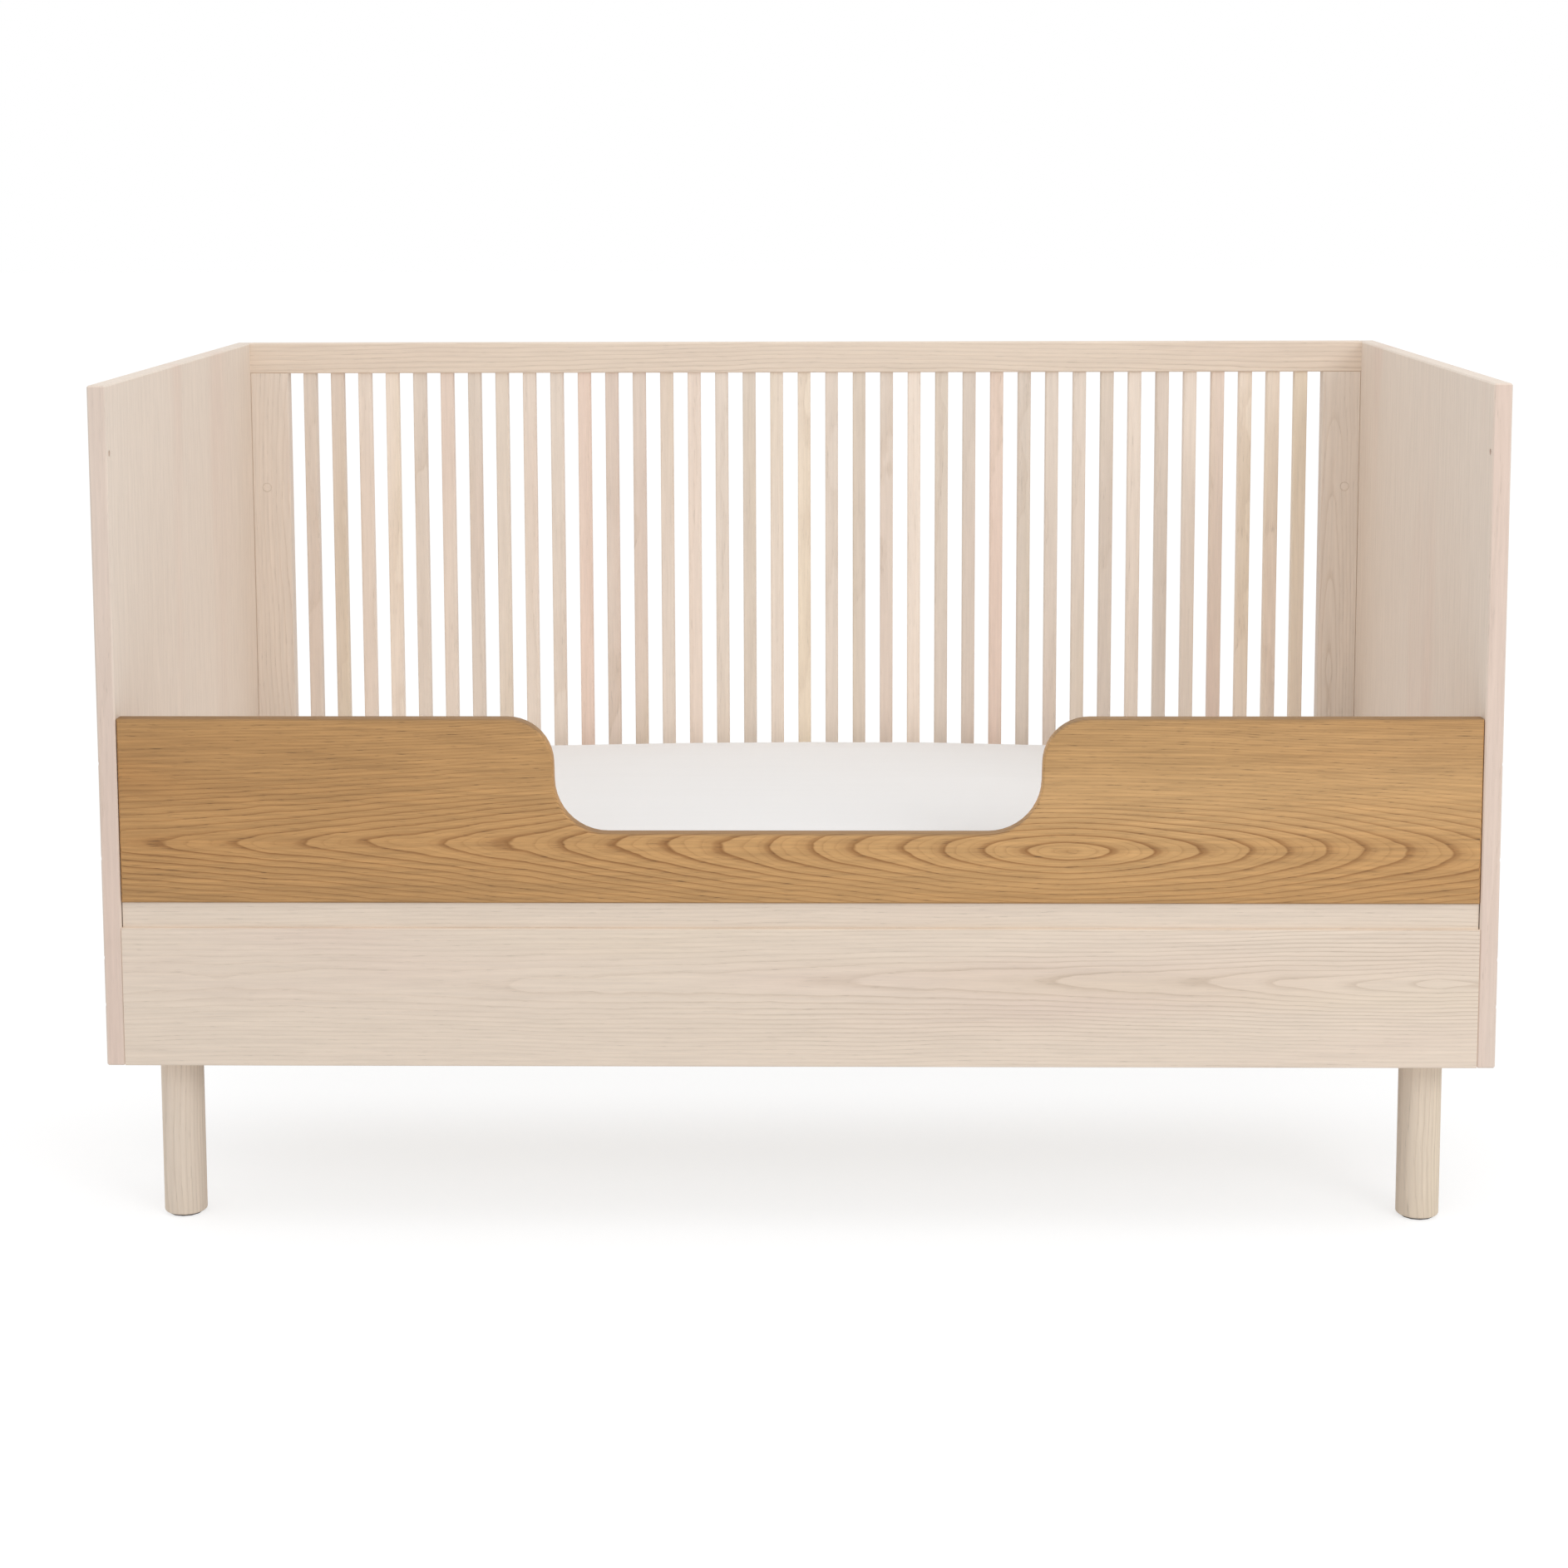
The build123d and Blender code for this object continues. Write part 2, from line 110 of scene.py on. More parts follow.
class CotFinishes(bpy.types.PropertyGroup):
    """Colours and grain of the surfaces"""

    ash: colour("Ash", "Whitewashed ash between its rings", 238, 221, 203)
    ash_line: colour("Ash ring", "The dark side of a growth ring in the ash", 205, 184, 163)
    ash_pink: colour("Ash, pink", "Patches of the ash that lean to pink", 232, 209, 194)
    ash_straw: colour("Ash, straw", "Patches of the ash that lean to yellow", 233, 216, 187)
    ash_pale: colour("Ash, pale", "The paler ash of the end panels and slats", 237, 223, 209)
    oak: colour("Oak", "Oiled oak between its rings", 192, 150, 98)
    oak_line: colour("Oak ring", "The dark side of a growth ring in the oak", 142, 98, 52)
    oak_brown: colour("Oak, brown", "Patches of the oak that lean to brown", 180, 133, 80)
    oak_gold: colour("Oak, gold", "Patches of the oak that lean to gold", 203, 162, 111)
    birch: colour("Birch", "Plain slats of the mattress base", 224, 198, 160)
    birch_line: colour("Birch ring", "The dark side of a growth ring in the birch", 196, 164, 122)
    cotton: colour("Cotton", "Fitted sheet on the mattress", 250, 251, 252)
    zinc: colour("Zinc", "Plated bolts and inserts", 203, 203, 200)
    felt: colour("Felt", "Glides under the legs", 118, 113, 108)
    ash_ring_gap: length("Ash ring gap", "From one growth ring of the ash to the next", 0.0040)
    oak_ring_gap: length("Oak ring gap", "From ring to ring in the oak, near the heart", 0.0095)
    thread_gap: length("Thread gap", "From one thread of the sheet to the next", 0.0005)


class CotShapes(bpy.types.PropertyGroup):
    """Sizes of the pieces that are modelled here"""

    foot_rounding: length("Foot rounding", "Rounding at the foot of a leg", 0.0025)
    guard_rounding: length("Guard rounding", "Softening of the guard's chamfers", 0.0007)
    sheet_slack: length("Sheet slack", "How far the cover swells on each side", 0.006)
    sheet_crown: length("Crown", "How far the middle of the mattress rises over its ends", 0.0065)
    crown_reach: length("Crown reach", "How far from the middle the crown has mostly gone", 0.36)
    sheet_crease: length("Crease", "Height of the creases in the sheet", 0.0009)
    sheet_edge: length("Edge rounding", "Rounding along the mattress's top and bottom edges", 0.018)
    sheet_voxel: length("Cloth step", "Size of the mesh that the cloth is worked out on", 0.012)
    socket_width: length("Socket width", "Across the flats of the socket in a bolt's head", 0.004)
    socket_depth: length("Socket depth", "Depth of the socket in a bolt's head", 0.0016)
    head_thickness: length("Head thickness", "Thickness of a bolt's head", 0.0025)
    shank_radius: length("Shank radius", "Radius of a bolt's shank", 0.003)
    rim_rounding: length("Rim rounding", "Rounding of the rims of bolt heads and plugs", 0.0007)


class CotStage(bpy.types.PropertyGroup):
    """Camera, lamps and floor"""

    camera_distance: length("Distance", "From the camera to the front of the bed", 2.965)
    camera_height: length("Height", "Height of the camera over the floor", 1.102)
    camera_aside: length("Aside", "The camera's distance to the right of the middle", 0.036)
    camera_turn: angle("Turn", "How far the camera looks to the right", -0.954)
    camera_dip: angle("Dip", "How far the camera looks down", 6.829)
    camera_roll: angle("Roll", "Turn of the camera about its own axis", -0.161)
    camera_lens: amount("Lens", "Focal length in millimetres on a 36 mm sensor", 67.48)
    camera_shift: amount("Shift", "Share of the picture's height that the lens is lowered by", 0.165)
    sky: amount("Sky", "Strength of the even light from all round", 0.74)
    key_power: amount("Key lamp", "Power of the soft lamp at the front right, in watts", 30.0)
    top_power: amount("Top lamp", "Power of the soft lamp over the bed, in watts", 9.5)
    floor_glow: amount("Floor glow", "Share of the floor's own white in what the camera sees", 0.5)
    floor_white: amount("Floor white", "Strength of the floor's own white", 1.40)
    floor_behind: amount("Floor behind", "How much of the shadow is gone behind the bed's middle", 0.7)
    floor_size: length("Floor size", "Side of the square floor", 60.0)


# ---------------------------------------------------------------- shader arithmetic
class Value:
    """The output of a shader node, which takes part in sums like a number."""

    def __init__(self, finish, node, output=0):
        self.finish = finish
        self.node = node
        self.socket = node.outputs[output]

    def output(self, which):
        """Another output of the same node."""
        return Value(self.finish, self.node, which)

    def maths(self, operation, *values):
        """One Math node."""
        return self.finish.add("Math", {"operation": operation}, dict(enumerate(values)))

    def of(self, operation):
        """One Math node on the value itself."""
        return self.maths(operation, self)

    def over(self, limit):
        """How far the value lies over a limit, and nothing where it is under it."""
        return self.maths("MAXIMUM", self - limit, 0.0)

    def step(self, start, end):
        """A smooth step from 0 at the start to 1 at the end."""
        return self.finish.add(
            "MapRange", {"interpolation_type": "SMOOTHSTEP"}, {0: self, 1: start, 2: end, 3: 0.0, 4: 1.0}
        )

    def __add__(self, other):
        return self.maths("ADD", self, other)

    def __sub__(self, other):
        return self.maths("SUBTRACT", self, other)

    def __rsub__(self, other):
        return self.maths("SUBTRACT", other, self)

    def __mul__(self, other):
        return self.maths("MULTIPLY", self, other)

    def __truediv__(self, other):
        return self.maths("DIVIDE", self, other)

    def __rtruediv__(self, other):
        return self.maths("DIVIDE", other, self)

    def __pow__(self, other):
        return self.maths("POWER", self, other)

    def __abs__(self):
        return self.of("ABSOLUTE")

    __radd__ = __add__
    __rmul__ = __mul__


class Finish:
    """A material that is built up node by node on a Principled shader."""

    def __init__(self, name):
        self.material = bpy.data.materials.new(name)
        self.material.use_nodes = True
        self.tree = self.material.node_tree
        self.surface = self.tree.nodes["Principled BSDF"]

    def add(self, kind, settings=None, sockets=None, output=0):
        """Add a node: its type, its settings, and the values or links of its sockets."""
        node = self.tree.nodes.new("ShaderNode" + kind)
        for key, value in (settings or {}).items():
            if key == "stops":
                set_stops(node.color_ramp, value)
            else:
                setattr(node, key, value)
        for key, value in (sockets or {}).items():
            self.plug(node.inputs[key], value)
        return Value(self, node, output)

    def plug(self, socket, value):
        """Link a socket to a value, or set it to a plain number or colour."""
        if isinstance(value, Value):
            self.tree.links.new(value.socket, socket)
        else:
            socket.default_value = value

    def set(self, **sockets):
        """Fill the Principled shader's sockets, with underscores for the spaces in their names."""
        for key, value in sockets.items():
            self.plug(self.surface.inputs[key.replace("_", " ")], value)

    def place(self):
        """The three Object coordinates."""
        split = self.add("SeparateXYZ", {}, {0: self.add("TexCoord", {}, {}, "Object")})
        return [split.output(axis) for axis in range(3)]

    def facing(self, axis):
        """How squarely the surface faces along an axis, from 0 to 1."""
        split = self.add("SeparateXYZ", {}, {0: self.add("TexCoord", {}, {}, "Normal")})
        return abs(split.output(axis))

    def noise(self, a, b, c, seed=0.0, detail=2.0):
        """Soft noise from 0 to 1 over three coordinates."""
        vector = self.add("CombineXYZ", {}, {0: a, 1: b, 2: c})
        sockets = {"Vector": vector, "W": seed, "Scale": 1.0, "Detail": detail, "Roughness": 0.55}
        return self.add("TexNoise", {"noise_dimensions": "4D"}, sockets)

    def luck(self, number):
        """A random value from 0 to 1 for each whole number."""
        return self.add("TexWhiteNoise", {"noise_dimensions": "1D"}, {"W": number})

    def mix(self, share, under, over, blend="MIX"):
        """One colour over another."""
        settings = {"data_type": "RGBA", "blend_type": blend}
        return self.add("Mix", settings, {0: share, 6: under, 7: over}, 2)

    def bump(self, height, strength, distance):
        """A normal from a height."""
        return self.add("Bump", {}, {"Strength": strength, "Distance": distance, "Height": height})


def set_stops(ramp, stops):
    """Give a ramp its grey stops, each a position and a shade."""
    ramp.interpolation = "EASE"
    while len(ramp.elements) > 1:
        ramp.elements.remove(ramp.elements[-1])
    ramp.elements[0].position = stops[0][0]
    ramp.elements[0].color = (*[stops[0][1]] * 3, 1.0)
    for position, shade in stops[1:]:
        ramp.elements.new(position).color = (shade, shade, shade, 1.0)


# ---------------------------------------------------------------- wood
class Heart(NamedTuple):
    """How the heart of the tree ran past a board, in metres from the board's middle."""

    lay: str  # the axes along the grain, across it and through the board
    across: float
    through: float
    nearest: float = 0.0  # where along the board the heart comes nearest
    lean: tuple = (0.03, 0.03)  # how fast it moves away before and after that
    reach: tuple = (9.0, 9.0)  # how far on it has moved away half as far as at that rate
    figure: float = 1.0  # strength of the rings
    fade: float = 0.0  # how much of that is lost towards the board's first end
    pinch: float = 0.0  # how much slimmer its arches are towards that end
    rise: float = 0.0  # how fast it runs upwards towards that end


class Tones(NamedTuple):
    """The colours of one kind of wood."""

    body: tuple
    line: tuple
    patch_one: tuple
    patch_two: tuple
    ring_gap: float
    crowding: float = 0.0  # how much closer the rings lie with the distance from the heart
    minor: float = 0.0  # strength of the fine lines between the rings
    tooth: float = 1.3  # strength of the fibres and pores
    glow: float = 0.0  # how much paler the wood is close to the heart


# the shade of a ring from its dark line to the next, as places and strengths
RING = ((0.0, 1.0), (0.07, 0.75), (0.22, 0.25), (0.45, 0.0), (0.93, 0.05), (1.0, 1.0))
PINCH_WIDTH = 0.03  # half of the pinch is left this far from the heart, in metres
DRIFT = 0.018  # how far the heart wanders across a board, in metres
SWAY = 0.007  # how far it wanders through it
RIPPLE = 0.0017  # how uneven the rings are


def ash_tones():
    """Whitewashed ash."""
    look = bpy.context.scene.cot_finishes
    return Tones(look.ash, look.ash_line, look.ash_pink, look.ash_straw, look.ash_ring_gap)


def pale_tones():
    """Whitewashed ash with less colour."""
    look = bpy.context.scene.cot_finishes
    return Tones(look.ash_pale, look.ash_line, look.ash_pink, look.ash_pale, look.ash_ring_gap)


def slat_tones():
    """Whitewashed ash that leans to yellow here and there."""
    look = bpy.context.scene.cot_finishes
    return Tones(look.ash_pale, look.ash_line, look.ash_pink, look.ash_straw, look.ash_ring_gap)


def oak_tones():
    """Oiled oak."""
    look = bpy.context.scene.cot_finishes
    tones = Tones(look.oak, look.oak_line, look.oak_brown, look.oak_gold, look.oak_ring_gap)
    return tones._replace(crowding=1100.0, minor=0.3, tooth=4.8, glow=0.2)


def birch_tones():
    """Planed birch."""
    look = bpy.context.scene.cot_finishes
    return Tones(look.birch, look.birch_line, look.birch_line, look.birch, look.ash_ring_gap)


def timber(finish, along, across, through, heart, tones, seed, shade=1.0, tide=0.0):
    """Growth rings round the heart, with fibres, pores and patches of tone, and any painted shade that
    comes in through shade and tide.
    """
    drift = finish.noise(along * 2.4, across * 8.0, through * 8.0, seed) - 0.5
    ripple = finish.noise(along * 24.0, across * 85.0, through * 85.0, seed + 1.7) - 0.5
    sway = finish.noise(along * 6.0, 0.0, 0.0, seed + 5.1) - 0.5
    before = (heart.nearest - along).over(0.0)
    after = (along - heart.nearest).over(0.0)
    away = before * heart.lean[0] / (before / heart.reach[0] + 1.0)
    away = away + after * heart.lean[1] / (after / heart.reach[1] + 1.0)
    offset = across - heart.across + drift * DRIFT
    if heart.pinch:
        offset = offset - before * heart.rise
        steep = offset / PINCH_WIDTH
        offset = offset * (before.step(0.25, 0.8) * heart.pinch / (steep * steep + 1.0) + 1.0)
    depth = abs(through - heart.through) + away + sway * SWAY
    radius = (offset * offset + depth * depth) ** 0.5 + ripple * RIPPLE
    rings = radius / tones.ring_gap + radius * radius * tones.crowding
    ring = finish.add("ValToRGB", {"stops": RING}, {0: rings.of("FRACT")})
    if tones.minor:
        line = finish.add("ValToRGB", {"stops": RING}, {0: (rings * 3.0 + sway * 2.0).of("FRACT")})
        ring = ring.maths("MAXIMUM", ring, line * tones.minor)
    patch = finish.noise(along * 1.6, across * 12.0, through * 12.0, seed + 2.9).step(0.3, 0.7)
    near = 1.0 - abs(offset).step(0.015, 0.10) * 0.65
    strength = (1.0 - before.step(0.3, 1.0) * heart.fade) * heart.figure
    grain = ring * near * (patch * 0.6 + 0.4) * strength
    fibre = finish.noise(along * 13.0, across * 320.0, through * 320.0, seed + 4.3, 3.0) - 0.5
    pores = finish.noise(along * 55.0, across * 800.0, through * 800.0, seed + 6.1).step(0.56, 0.70)
    # tide adds to the first patch tone: from board() it can be painted shade towards the first end, and
    # elsewhere it is patches of real tone
    first = finish.noise(along * 1.3, across * 7.0, through * 7.0, seed + 7.7).step(0.5, 0.72) * 0.55 + tide
    second = finish.noise(along * 0.9, across * 9.0, through * 9.0, seed + 9.3).step(0.5, 0.72) * 0.55
    body = finish.mix(first, (*tones.body, 1.0), (*tones.patch_one, 1.0))
    body = finish.mix(second, body, (*tones.patch_two, 1.0))
    body = finish.mix(grain, body, (*tones.line, 1.0))
    # shade scales the lightness: from board() it can be painted shade on upward faces, and for a row of
    # bars it is each bar's own tone
    light = (1.0 + near * tones.glow + (fibre * 0.20 - pores * (ring * 0.10 + 0.03)) * tones.tooth) * shade
    finish.set(
        Base_Color=finish.mix(1.0, body, light, "MULTIPLY"),
        Roughness=0.6 - fibre * 0.15,
        Normal=finish.bump(fibre * 0.6 - ring * 0.4 - pores * 0.5, 0.25, 0.0004),
    )
    return finish.material


def middle(node):
    """The middle of a node's box."""
    low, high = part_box(node)
    return (Vector(low) + Vector(high)) / 2


def board(node, heart, tones, seed, first_end_painted_shade=0.0, warm_edge=0.0, upward_painted_shade=0.0):
    """The finish of one board, with painted shade that makes its first end darker and browner, a warmer
    front edge, or painted shade that darkens its upward faces.
    """
    finish = Finish("wood_" + node)
    place = finish.place()
    centre = middle(node)
    axes = [AXES.index(letter) for letter in heart.lay]
    along, across, through = (place[axis] - centre[axis] for axis in axes)
    # painted shade: the wood is mixed towards its brown patch tone towards the board's first end, standing
    # in for less lamp light there
    tide = (1.0 - along.step(-0.6, 0.5)) * first_end_painted_shade
    if warm_edge:
        tide = finish.facing(1).step(0.5, 0.9) * warm_edge
    shade = 1.0
    # painted shade: faces that look upward are darkened, to offset the light they get from the sky and the
    # top lamp
    if upward_painted_shade:
        shade = 1.0 - finish.facing(2).step(0.4, 0.9) * upward_painted_shade
    return timber(finish, along, across, through, heart, tones, seed, shade, tide)


def row_of_bars(name, heart, tones, first, pitch, seed, pink=0.0):
    """One finish for a row of bars along X, each cut from another piece of the tree."""
    finish = Finish(name)
    place = finish.place()
    axes = [AXES.index(letter) for letter in heart.lay]
    number = ((place[0] - first) / pitch + 0.5).of("FLOOR")
    luck = finish.luck(number + seed)
    other_luck = finish.luck(number + seed + 0.37)
    along = place[axes[0]] + luck * 9.0
    across = place[axes[1]] - number * pitch - first + (other_luck - 0.5) * 0.05
    through = place[axes[2]] + other_luck * 4.0
    tide = finish.luck(number + seed + 0.71).step(0.45, 0.95) * pink
    return timber(finish, along, across, through * 0.3, heart, tones, seed, 0.95 + luck * 0.22, tide)


def coat(node, material):
    """Give a CAD node its finish."""
    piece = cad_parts[node]
    if not piece.material_slots:
        piece.data.materials.append(material)
    for place in piece.material_slots:
        place.material = material


# ---------------------------------------------------------------- other finishes
def cotton(name):
    """Fitted sheet: a plain weave with soft lengthwise streaks."""
    look = bpy.context.scene.cot_finishes
    finish = Finish(name)
    x, y, z = finish.place()
    turns = 2 * math.pi / look.thread_gap
    weave = (x * turns).of("SINE") * (y * turns).of("SINE")
    streak = finish.noise(x * 3.0, y * 60.0, z * 60.0, 1.0, 3.0) - 0.5
    slub = finish.noise(x * 40.0, y * 900.0, z * 900.0, 2.0) - 0.5
    light = 1.0 + streak * 0.035 + slub * 0.03
    finish.set(
        Base_Color=finish.mix(1.0, (*look.cotton, 1.0), light, "MULTIPLY"),
        Roughness=0.88 + slub * 0.1,
        Normal=finish.bump(weave * 0.3 + slub + streak, 0.35, 0.0003),
        Sheen_Weight=0.3,
        Sheen_Roughness=0.5,
    )
    return finish.material


def zinc(name):
    """Zinc-plated steel."""
    look = bpy.context.scene.cot_finishes
    finish = Finish(name)
    x, y, z = finish.place()
    cloud = finish.noise(x * 180.0, y * 180.0, z * 180.0, 0.0, 3.0)
    finish.set(
        Base_Color=finish.mix(1.0, (*look.zinc, 1.0), cloud * 0.2 + 0.88, "MULTIPLY"),
        Metallic=1.0,
        Roughness=cloud * 0.22 + 0.24,
        Normal=finish.bump(cloud, 0.1, 0.0001),
    )
    return finish.material


def moulded(name, body, grain=700.0):
    """Felt or moulded plastic with a fine tooth."""
    finish = Finish(name)
    x, y, z = finish.place()
    tooth = finish.noise(x * grain, y * grain, z * grain, 0.0, 3.0)
    finish.set(
        Base_Color=finish.mix(1.0, (*body, 1.0), tooth * 0.24 + 0.88, "MULTIPLY"),
        Roughness=0.55 + tooth * 0.3,
        Normal=finish.bump(tooth, 0.3, 0.0002),
    )
    return finish.material


# ---------------------------------------------------------------- modelling helpers
def activate(piece):
    """Make a piece the only one that is selected, and the active one."""
    bpy.ops.object.select_all(action="DESELECT")
    piece.select_set(True)
    bpy.context.view_layer.objects.active = piece


def choose_faces(piece, test):
    """Open a piece in edit mode with only the faces selected that pass the test."""
    activate(piece)
    bpy.ops.object.mode_set(mode="EDIT")
    bpy.ops.mesh.select_mode(type="FACE")
    bpy.ops.mesh.select_all(action="DESELECT")
    bpy.ops.object.mode_set(mode="OBJECT")
    for face in piece.data.polygons:
        face.select = test(face)
    bpy.ops.object.mode_set(mode="EDIT")


def apply_modifier(piece, name, kind, **settings):
    """Add a modifier, set it and apply it."""
    activate(piece)
    modifier = piece.modifiers.new(name, kind)
    for key, value in settings.items():
        setattr(modifier, key, value)
    bpy.ops.object.modifier_apply(modifier=modifier.name)


def cylinder(sides, radius, depth, **place):
    """A new cylinder, which is the only piece that is selected."""
    bpy.ops.object.select_all(action="DESELECT")
    bpy.ops.mesh.primitive_cylinder_add(vertices=sides, radius=radius, depth=depth, **place)
    return bpy.context.object


def round_rim(piece, outward, rounding, segments):
    """Round the rim of the end that looks outward."""
    choose_faces(piece, lambda face: face.normal.dot(outward) > 0.9)
    bpy.ops.mesh.bevel(offset=rounding, segments=segments, affect="EDGES")
    bpy.ops.object.mode_set(mode="OBJECT")


def smooth(piece, degrees=35.0):
    """Smooth shading, with sharp edges where faces meet at more than the angle."""
    activate(piece)
    bpy.ops.object.shade_smooth_by_angle(angle=math.radians(degrees))


def settle(piece, name, material, body, slot, *nodes):
    """Name and coat a finished piece, let it ride on its body and stand for its CAD nodes."""
    activate(piece)
    bpy.ops.object.transform_apply(location=True, rotation=True, scale=True)
    piece.name = name
    piece.data.name = name
    piece.data.materials.clear()
    piece.data.materials.append(material)
    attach(piece, body)
    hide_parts(*nodes)


def solids(node):
    """The lowest and highest corner of each separate solid in a node, from left to right."""
    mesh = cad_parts[node].data
    owner = {}

    def find(key):
        while owner[key] != key:
            key = owner[key]
        return key

    keys = [tuple(round(c, 5) for c in vertex.co) for vertex in mesh.vertices]
    for key in keys:
        owner[key] = key
    for face in mesh.polygons:
        first = find(keys[face.vertices[0]])
        for corner in face.vertices[1:]:
            owner[find(keys[corner])] = first
    groups = {}
    for key in set(keys):
        groups.setdefault(find(key), []).append(key)
    boxes = []
    for points in groups.values():
        low = Vector(min(point[axis] for point in points) for axis in range(3))
        high = Vector(max(point[axis] for point in points) for axis in range(3))
        boxes.append((low, high))
    return sorted(boxes, key=lambda box: tuple(round(c, 4) for c in box[0]))


def copies(template, places, name):
    """Copy a piece to each place, each copy with its own mesh, and join them into one piece."""
    made = []
    for place in places:
        piece = bpy.data.objects.new(name, template.data.copy())
        piece.data.transform(place)
        bpy.context.collection.objects.link(piece)
        made.append(piece)
    bpy.data.objects.remove(template)
    activate(made[0])
    for piece in made:
        piece.select_set(True)
    bpy.ops.object.join()
    return bpy.context.object


# ---------------------------------------------------------------- boards that the CAD model carries
ASH_BOARDS = {
    "end_panel_left": Heart("ZYX", 0.55, 0.05, 0.0, (0.02, 0.03), figure=0.55),
    "end_panel_right": Heart("ZYX", -0.60, -0.05, 0.1, (0.03, 0.02), figure=0.55),
    "front_apron": Heart("XZY", 0.017, -0.016, 0.66, (0.085, 0.05), (0.45, 9.0), 1.05, 0.6),
    "front_batten": Heart("XZY", -0.075, -0.03, 0.30, (0.02, 0.03), figure=0.8),
    "back_apron": Heart("XZY", 0.010, 0.018, -0.35, (0.040, 0.035), figure=0.75),
    "back_top_rail": Heart("XZY", -0.05, 0.03, 0.10, (0.020, 0.025), figure=0.8),
    "back_bottom_rail": Heart("XZY", 0.04, 0.03, -0.20, (0.02, 0.02), figure=0.8),
    "back_stile_left": Heart("ZXY", 0.04, 0.03, 0.10, (0.02, 0.03), figure=0.4),
    "back_stile_right": Heart("ZXY", -0.01, -0.018, -0.12, (0.03, 0.04), figure=0.45),
    "base_side_rail_front": Heart("XZY", 0.05, 0.02, 0.2, (0.02, 0.02), figure=0.7),
    "base_side_rail_back": Heart("XZY", -0.05, 0.02, -0.2, (0.02, 0.02), figure=0.7),
    "base_end_rail_left": Heart("YZX", 0.05, 0.02, 0.0, (0.02, 0.02), figure=0.7),
    "base_end_rail_right": Heart("YZX", -0.05, 0.02, 0.0, (0.02, 0.02), figure=0.7),
}
PANELS = ("end_panel_left", "end_panel_right")
PALE_BOARDS = (*PANELS, "back_stile_left", "back_stile_right")
BLOCK_HEART = Heart("XYZ", 0.06, 0.02, 0.0, (0.03, 0.03), figure=0.8)
GUARD_HEART = Heart("XZY", -0.042, -0.0115, 0.277, (0.2, 0.17), (0.75, 1.5), 1.2, pinch=0.9, rise=0.012)
LEG_HEART = Heart("ZXY", 0.045, 0.03, 0.0, (0.02, 0.02), figure=0.7)
SLAT_HEART = Heart("ZXY", 0.07, 0.02, 0.0, (0.01, 0.01), figure=0.5)
BASE_SLAT_HEART = Heart("YXZ", 0.03, 0.02, 0.0, (0.01, 0.01), figure=0.7)
CORNERS = ("front_left", "front_right", "back_left", "back_right")


class COT_OT_boards(bpy.types.Operator):
    """Give the end panels, aprons, rails, stiles and blocks their whitewashed ash"""

    bl_idname = "cot.boards"
    bl_label = "Ash boards"
    bl_options = {"REGISTER", "UNDO"}

    def execute(self, context):
        for seed, (node, heart) in enumerate(ASH_BOARDS.items()):
            tones = pale_tones() if node in PALE_BOARDS else ash_tones()
            edge = 1.0 if node in PANELS else 0.0
            coat(node, board(node, heart, tones, 11.0 * seed, warm_edge=edge))
        for seed, corner in enumerate(CORNERS):
            node = "corner_block_" + corner
            coat(node, board(node, BLOCK_HEART, ash_tones(), 300.0 + 7.0 * seed))
        return {"FINISHED"}


class COT_OT_slats(bpy.types.Operator):
    """Give each upright slat of the back and each slat of the base its own cut of wood"""

    bl_idname = "cot.slats"
    bl_label = "Slats"
    bl_options = {"REGISTER", "UNDO"}

    def execute(self, context):
        bars = solids("back_slats")
        first = (bars[0][0].x + bars[0][1].x) / 2
        last = (bars[-1][0].x + bars[-1][1].x) / 2
        pitch = (last - first) / (len(bars) - 1)
        ash = row_of_bars("wood_back_slats", SLAT_HEART, slat_tones(), first, pitch, 40.0, pink=0.8)
        coat("back_slats", ash)
        names = sorted(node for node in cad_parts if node.startswith("base_slat_"))
        first = middle(names[0]).x
        pitch = (middle(names[-1]).x - first) / (len(names) - 1)
        plain = row_of_bars("wood_base_slats", BASE_SLAT_HEART, birch_tones(), first, pitch, 90.0)
        for node in names:
            coat(node, plain)
        return {"FINISHED"}


class COT_OT_guard(bpy.types.Operator):
    """Round the oak guard and its cut-out, and give it its flame figure"""

    bl_idname = "cot.guard"
    bl_label = "Guard"
    bl_options = {"REGISTER", "UNDO"}

    def execute(self, context):
        rounding = context.scene.cot_shapes.guard_rounding
        piece = bpy.data.objects.new("oak_guard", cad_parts["toddler_guard"].data.copy())
        context.collection.objects.link(piece)
        choose_faces(piece, lambda face: True)
        bpy.ops.mesh.remove_doubles(threshold=0.00002)
        bpy.ops.mesh.dissolve_limited(angle_limit=math.radians(0.5))
        bpy.ops.mesh.normals_make_consistent(inside=False)
        bpy.ops.object.mode_set(mode="OBJECT")
        limit = math.radians(30)
        apply_modifier(
            piece, "Soften", "BEVEL", width=rounding, segments=2, limit_method="ANGLE", angle_limit=limit
        )
        smooth(piece)
        # the guard's first (left) end and its upward faces get painted shade
        material = board("toddler_guard", GUARD_HEART, oak_tones(), 5.0, first_end_painted_shade=0.5, upward_painted_shade=0.4)
        settle(piece, "oak_guard", material, BED, "oiled_oak", "toddler_guard")
        return {"FINISHED"}


